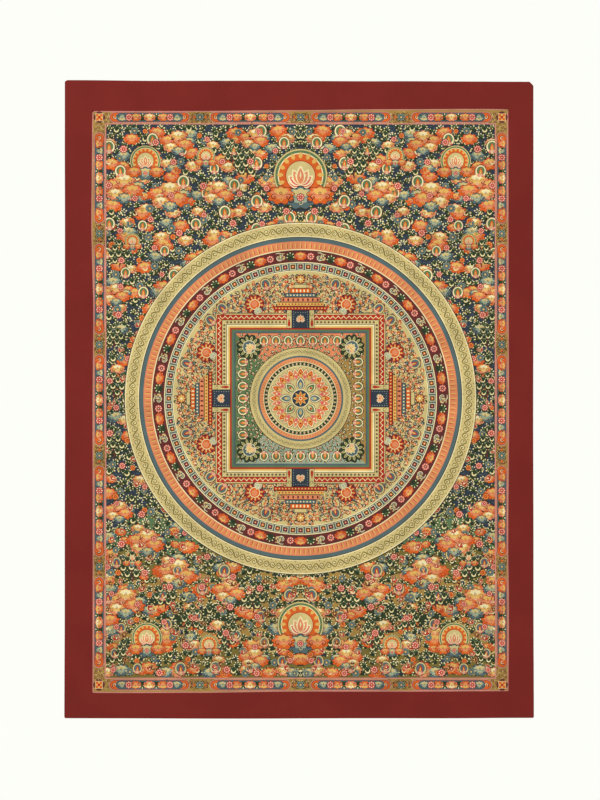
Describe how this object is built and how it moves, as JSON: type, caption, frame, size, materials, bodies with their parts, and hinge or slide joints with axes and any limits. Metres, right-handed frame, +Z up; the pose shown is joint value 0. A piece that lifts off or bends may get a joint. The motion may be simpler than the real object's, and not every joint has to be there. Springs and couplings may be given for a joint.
{
  "type": "thangka scroll painting",
  "caption": "Painted canvas hanging with a plain maroon cloth border, hemmed all round and held along its top edge.",
  "frame": {"origin": "middle of the top edge, halfway through the border's folded hem", "axes": "+Z up as the sheet hangs, +X to the right of someone who looks at the painting, -Y out of its painted face"},
  "size_m": [0.574, 0.0099, 0.7814],
  "materials": {
    "canvas": "matte",
    "border": "matte"
  },
  "bodies": {
    "root": {"canvas": "canvas", "border_top": "border", "border_bottom": "border", "border_left": "border", "border_right": "border"}
  },
  "joints": []
}
